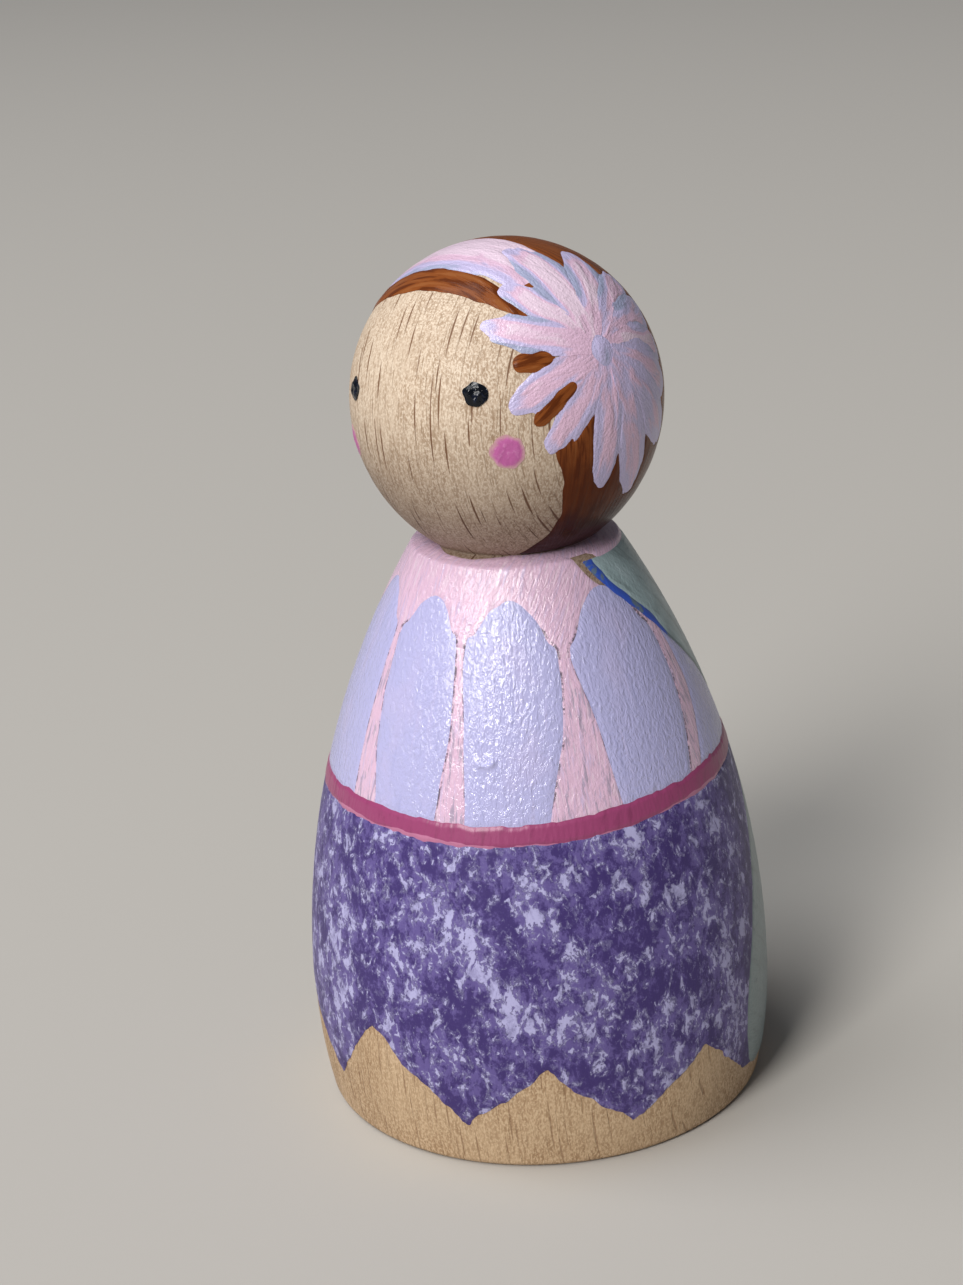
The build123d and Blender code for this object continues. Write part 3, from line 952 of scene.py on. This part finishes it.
def face_dots():
    """Eyes and cheeks, dabbed on the bare wood with a round tool."""
    for seed, (name, (azimuth, latitude, radius)) in enumerate(DOTS.items(), start=27):
        kind = name.split("_")[0]

        def dot(u, v, points):
            return radius - np.hypot(u, v) + 0.15 * wobble(u * 2.0 + 0.3, v * 2.0 + 0.3, seed)

        def lumps(u, v, points):
            return COATS[kind][1] * 0.35 * wobble(u * 3.2, v * 3.2, seed + 5)

        def dabbed(u, v, points):
            return v, u, dot(u, v, points)

        chart = HeadChart(azimuth, latitude, (radius * 1.4, radius * 1.4), 0.05)
        film(name, chart, dot, kind, dabbed, lumps, ramp=radius * 0.5)


# -------- the dress --------

# Outlines on the body are azimuths and heights. Each seam between the bodice petals: the height
# of the collar's point over it, then azimuths of both sides there, half way down and at the waist
SEAMS = (
    (32.4, (-108, -102.5), (-109, -101.5), (-99.5, -94)),
    (32.8, (-60, -56), (-61, -54.5), (-62, -50)),
    (33.4, (-17.5, -14.5), (-17.5, -12), (-17, -7)),
    (33.4, (16, 19.3), (17.2, 21.6), (14.6, 23.4)),
    (32.6, (55.8, 60), (53.6, 64.8), (47.4, 67.9)),
    (32.4, (102.5, 108), (101.5, 109), (94, 99.5)),
)
# Heights half way down the seams and at the waist
SEAM_MIDDLE, SEAM_FOOT = 28.5, 23.5
BACK_SEAMS = (33.0, *((-150, -150),) * 3), (33.0, *((150, 150),) * 3)
# Half of a bodice petal's arch: shares of its half width and of its rise to the peak
ARCH = ((0.76, 0.35), (0.41, 0.79), (0.0, 1.0))
PETAL_PEAK = 36.1
# How far the collar runs in over the ledge
COLLAR_WIDE = 1.40
# The waistband's middle, and its width
WAIST_LINE = ((-150, 23.0), (-60, 22.5), (-9, 22.8), (30, 22.55), (67, 22.95), (110, 23.35), (150, 23.3))
WAIST_WIDTH = 1.32
# The hem's teeth, the notches between them, and the plain hem round the back under the wings
HEM_POINTS = ((-102, 2.6), (-61, 3.0), (-20, 3.4), (22, 3.2), (62.5, 2.7), (101, 2.3))
HEM_PEAKS = ((-81, 7.2), (-41, 8.0), (-4, 9.0), (42, 7.4), (84, 6.5))
HEM_BACK, HEM_SIDE = 1.6, 110
# Azimuths between which the front of the dress is painted; its ends lie under the wings
DRESS = (-150, 150)
WING_TOP = 37.55
# A wing's outline: its front edge, its lobe, and past the middle of the back, where it is cut
WING_FRONT = (
    (77, 38.4), (80, 37.3), (89, 35.5), (95, 34.6), (109, 32.1), (119, 30.1), (129, 27.9), (142, 24.0),
)
WING_LOBE = ((142, 24.0), (118, 16.3), (104, 8.5), (103, 4.0), (112, 1.6), (148, 2.6), (180, 8.0))
WING_SPINE = ((205, 8.0), (205, 38.4))
WING_FACING = 140
WING_EDGE_WIDTH = 0.72
# The bodice petal with a lump of dried paint, and where the lump is: azimuth, then millimetres
# aside from it and up
LUMP_PETAL, LUMP_AZIMUTH, LUMP_PLACE = 5, 28, (0.2, 26.9)


def girth(azimuth, height):
    """Millimetres round the body from the face."""
    return np.radians(azimuth) * body_radius(height)


def flat(azimuth, height, facing):
    """The body unrolled about an azimuth: millimetres round it, and height."""
    return girth(azimuth - facing, height), height


def flat_points(points, facing):
    azimuth, height = np.array(points, float).T
    return np.stack(flat(azimuth, height, facing), -1)


def wing_depth(azimuth, height):
    """Depth inside the wing of the doll's left; the other one is its mirror image."""
    front, lobe, spine = (flat_points(line, WING_FACING) for line in (WING_FRONT, WING_LOBE, WING_SPINE))
    outline = np.vstack([curve(front), curve(lobe), spine])
    x, y = flat(np.abs(azimuth), height, WING_FACING)
    return inside(x, y, outline) + 0.07 * wobble(x * 1.2, y * 1.2, 14)


def below_collar(height):
    return WING_TOP - height


def wing_cover(azimuth, height):
    return np.minimum(wing_depth(azimuth, height), below_collar(height))


def line_depth(azimuth, height):
    """Depth inside the line along the upper front edge of the wing."""
    depth = wing_depth(azimuth, height)
    width = WING_EDGE_WIDTH * (0.45 + 0.55 * smooth(31, 34, height)) * smooth(23, 25.5, height)
    width = width + 0.08 * wobble(height * 1.6, azimuth * 0.1, 15)
    return np.minimum(depth, width - depth)


def seam_side(seam, side, facing):
    """One side of a seam on the unrolled body, from the collar's point to below the waist."""
    tip, top, middle, foot = seam
    heights = (tip, SEAM_MIDDLE, SEAM_FOOT, SEAM_FOOT - 1.2)
    azimuths = (top[side], middle[side], foot[side], foot[side])
    return flat_points(list(zip(azimuths, heights)), facing)


def bodice_depth(azimuth, height, before, after):
    """Depth inside a pointed arch between two seams."""
    facing = (before[1][1] + after[1][0]) / 2
    right, left = seam_side(before, 1, facing), seam_side(after, 0, facing)
    peak = np.array([(left[0][0] + right[0][0]) / 2, PETAL_PEAK])
    ends = right[0] - peak, left[0] - peak
    rising, falling = ([peak + end * (out, 1 - up) for out, up in ARCH] for end in ends)
    arch = curve([*right[::-1], *rising, *falling[-2::-1], *left])
    x, y = flat(azimuth, height, facing)
    return inside(x, y, arch) + 0.05 * wobble(x * 1.7, y * 0.9, int(facing) + 200)


def petal_sides():
    """The seams on both sides of each bodice petal."""
    sides = (BACK_SEAMS[0], *SEAMS, BACK_SEAMS[1])
    return list(zip(sides, sides[1:]))


def collar_low(azimuth):
    """Height of the collar's nearest point."""
    middles = [sum(seam[1]) / 2 for seam in SEAMS]
    return np.interp(azimuth, middles, [seam[0] for seam in SEAMS]) - 0.05


def bodice_cover(azimuth, height):
    return np.maximum.reduce([bodice_depth(azimuth, height, *sides) for sides in petal_sides()])


def above_waist(azimuth, height):
    """Height above the middle of the waistband."""
    line = curve(WAIST_LINE)
    return height - np.interp(azimuth, line[:, 0], line[:, 1])


def waist_depth(azimuth, height):
    x = np.radians(azimuth) * BELLY_RADIUS
    rough = 0.09 * wobble(x * 0.7, height * 0.5, 60) + 0.06 * wobble(x * 2.2, height, 61)
    return WAIST_WIDTH / 2 - np.abs(above_waist(azimuth, height)) + rough


def skirt_depth(azimuth, height):
    """Depth above the zigzag hem."""
    degree = np.radians(1) * BELLY_RADIUS
    back = [(turn, HEM_BACK) for turn in (-180, -HEM_SIDE, HEM_SIDE, 180)]
    hem = [*back[:2], *sorted([*HEM_POINTS, *HEM_PEAKS]), *back[2:]]
    outline = np.array([*hem, (180, SHOULDER_HEIGHT), (-180, SHOULDER_HEIGHT)]) * [degree, 1]
    x = azimuth * degree
    ragged = 0.20 * wobble(x * 0.9, height * 0.9, 70) + 0.09 * wobble(x * 2.8, height * 2.8, 71)
    return inside(x, height, outline) + ragged


def lengthways(facing=0.0, shift=0.0):
    """Strokes down the body, with no mark."""

    def strokes(u, v, points):
        return v, girth(u - facing, v) + shift, 0 * u

    return strokes


def dried_lump(u, v, points):
    """A small crescent of paint that dried on the front petal."""
    x, y = flat(u, v, LUMP_AZIMUTH)
    x, y = x - LUMP_PLACE[0], y - LUMP_PLACE[1]
    ridge = np.abs(np.hypot(x, y * 1.5 - 0.3) - 0.55)
    below = smooth(0.5, -0.1, y)
    return 0.17 * smooth(0.3, 0.05, ridge) * below * (0.8 + 0.5 * wobble(x * 3.5, y * 3.5, 77))


def bodice():
    """Bodice petals over the pink coat of the collar and the seams."""
    for number, (before, after) in enumerate(petal_sides(), start=1):

        def petal(u, v, points):
            depth = np.minimum(bodice_depth(u, v, before, after), above_waist(u, v))
            return under(depth, waist_depth(u, v), wing_cover(u, v))

        right, left = before[1][1], after[1][0]
        chart = BodyChart((right - 12, left + 12), (22.0, 37.5), 0.12)
        strokes = lengthways((right + left) / 2, number * 7)
        lump = dried_lump if number == LUMP_PETAL else None
        film(f"bodice_petal_{number}", chart, petal, "bodice", strokes, lump, ramp=0.4)


def collar():
    """The pink collar, which runs on over the shoulder to the neck all the way round."""

    def ring_top(u):
        """Where the coat ends on the ledge, a little short of the neck at the front."""
        bare = 0.50 * smooth(34, 8, np.abs(u - 6))
        return SHOULDER_HEIGHT + COLLAR_WIDE - bare + 0.06 * wobble(u * 0.15, 0 * u, 92)

    def coat(u, v, points):
        gap = 0.62 * smooth(34.8, 36.6, v) * smooth(92, 84, np.abs(u))
        depth = np.minimum(v - collar_low(u), ring_top(u) - v)
        return under(depth, bodice_cover(u, v), wing_cover(u, v) + gap)

    def collar_region(u, v, points):
        return np.minimum(coat(u, v, points), girth(180 - np.abs(u), v))

    def marked(u, v, points):
        inked = -bodice_cover(u, v) + smooth(34.2, 35.2, v)
        return v, girth(u, v), np.clip(inked, -0.2, 1)

    chart = BodyChart((-181, 181), (31.9, SHOULDER_HEIGHT + COLLAR_WIDE + 0.3))
    film("collar", chart, collar_region, "collar", marked, edge=coat)


def seams():
    for number, seam in enumerate(SEAMS, start=1):
        middle = sum(seam[2]) / 2
        before, after = petal_sides()[number - 1], petal_sides()[number]

        def strip(u, v, points):
            x, _ = flat(u, v, middle)
            depth = np.minimum(above_waist(u, v), collar_low(u) + LAP - v)
            depth = np.minimum(depth, 3.5 - np.abs(x))
            return under(depth, bodice_cover(u, v), waist_depth(u, v), wing_cover(u, v))

        def marked(u, v, points):
            x, _ = flat(u, v, middle)
            inked = np.minimum(-bodice_depth(u, v, *before), 0.08 - bodice_depth(u, v, *after))
            return v, x + 7 * number, np.clip(inked, -0.2, 1)

        chart = BodyChart((middle - 18, middle + 18), (22.0, 33.8), 0.1)
        film(f"seam_{number}", chart, strip, "seam", marked)


def skirt_and_waist():
    def waist(u, v, points):
        return under(waist_depth(u, v), wing_cover(u, v))

    def skirt(u, v, points):
        depth = np.minimum(skirt_depth(u, v), -above_waist(u, v))
        return under(depth, waist_depth(u, v), wing_cover(u, v))

    def banded(u, v, points):
        return v, girth(u, v), above_waist(u, v)

    film("waistband", BodyChart(DRESS, (21.0, 25.0), 0.1), waist, "waist", banded)
    film("skirt", BodyChart(DRESS, (1.2, 24.0), 0.15), skirt, "skirt", lengthways())


def wings():
    """Grey-teal wings on the back, and the line along each front edge."""
    for side, sign in (("left", 1), ("right", -1)):
        azimuths = (74, 181) if sign > 0 else (-181, -74)

        def line(u, v, points):
            return np.minimum(line_depth(u, v), below_collar(v))

        def wing(u, v, points):
            return under(np.minimum(wing_cover(u, v), girth(180 - sign * u, v)), line_depth(u, v))

        def down_edge(u, v, points):
            return below_collar(v), girth(u, v), 0 * u

        def fanned(u, v, points):
            x, y = flat(sign * u, v, 180)
            return np.hypot(x, y + 6), np.arctan2(x, y + 6) * 18, 0 * u

        chart = BodyChart(azimuths, (1.2, SHOULDER_HEIGHT), 0.15)
        film(f"wing_{side}", chart, wing, "wing", fanned)
        chart = BodyChart(azimuths, (22.0, SHOULDER_HEIGHT), 0.1)
        film(f"wing_edge_{side}", chart, line, "line", down_edge)


# -------- stage, light and camera --------

# The camera's place, and where it aims: aside from the doll's middle, and up
CAMERA_AZIMUTH = 42
CAMERA_AWAY = 2.691 * HEIGHT
CAMERA_HEIGHT = 1.529 * HEIGHT
AIM_SIDE = -0.0453 * HEIGHT
AIM_HEIGHT = 0.5369 * HEIGHT
CAMERA_ROLL = radians(-3.77)
LENS = 93.46
# Lights: degrees round from the camera, degrees up, metres away, width and height in metres,
# watts and colour
LIGHTS = {
    "window": (-32, 39, 1.5, (0.45, 0.95), 20.5, (1.0, 0.985, 0.96)),
    "sky": (-90, 66, 2.0, (1.2, 1.2), 21.0, (0.96, 0.98, 1.0)),
}
ROOM_COLOUR, ROOM_STRENGTH = (0.9, 0.93, 1.0, 1.0), 0.13
FLOOR_HALF, FLOOR_COLOUR, FLOOR_ROUGHNESS = 3.0, (0.47, 0.445, 0.41, 1.0), 0.9


def camera_axes(azimuth):
    """Level vectors from the doll towards an azimuth, and to the right as seen from there."""
    turn = radians(azimuth)
    return Vector((sin(turn), -cos(turn), 0)), Vector((cos(turn), sin(turn), 0))


def add_camera():
    towards, right = camera_axes(CAMERA_AZIMUTH)
    place = (towards * CAMERA_AWAY + Vector((0, 0, CAMERA_HEIGHT))) * MM
    aim = (right * AIM_SIDE + Vector((0, 0, AIM_HEIGHT))) * MM
    camera = new_object("camera", bpy.data.cameras.new("camera"))
    camera.data.lens = LENS
    camera.data.sensor_fit = "HORIZONTAL"
    camera.data.clip_start = 0.01
    turn = (aim - place).to_track_quat("-Z", "Y").to_matrix().to_4x4()
    camera.matrix_world = Matrix.Translation(place) @ turn @ Matrix.Rotation(CAMERA_ROLL, 4, "Z")
    bpy.context.scene.camera = camera


def add_light(name, azimuth, elevation, away, size, power, colour):
    """A soft oblong light that faces the middle of the doll."""
    towards, _ = camera_axes(CAMERA_AZIMUTH + azimuth)
    middle = Vector((0, 0, HEIGHT / 2)) * MM
    tilt = radians(elevation)
    offset = (towards * cos(tilt) + Vector((0, 0, sin(tilt)))) * away
    light = bpy.data.lights.new(name, "AREA")
    light.shape = "RECTANGLE"
    light.size, light.size_y = size
    light.energy = power
    light.color = colour
    turn = offset.to_track_quat("Z", "Y").to_matrix().to_4x4()
    new_object(name, light).matrix_world = Matrix.Translation(middle + offset) @ turn


def add_floor():
    """A plain pale floor."""
    mesh = bpy.data.meshes.new("floor")
    corners = [(x * FLOOR_HALF, y * FLOOR_HALF, 0) for x, y in ((-1, -1), (1, -1), (1, 1), (-1, 1))]
    mesh.from_pydata(corners, [], [(0, 1, 2, 3)])
    material = bpy.data.materials.new("floor")
    material.use_nodes = True
    shader = material.node_tree.nodes["Principled BSDF"]
    shader.inputs["Base Color"].default_value = FLOOR_COLOUR
    shader.inputs["Roughness"].default_value = FLOOR_ROUGHNESS
    mesh.materials.append(material)
    new_object("floor", mesh)


def add_light_and_camera():
    add_floor()
    for name, settings in LIGHTS.items():
        add_light(name, *settings)
    world = bpy.data.worlds.new("room")
    bpy.context.scene.world = world
    world.use_nodes = True
    background = world.node_tree.nodes["Background"]
    background.inputs["Color"].default_value = ROOM_COLOUR
    background.inputs["Strength"].default_value = ROOM_STRENGTH
    bpy.context.scene.view_settings.view_transform = "Standard"
    add_camera()


turned_peg()
flower()
hair()
headband()
face_dots()
wings()
bodice()
collar()
seams()
skirt_and_waist()
add_light_and_camera()
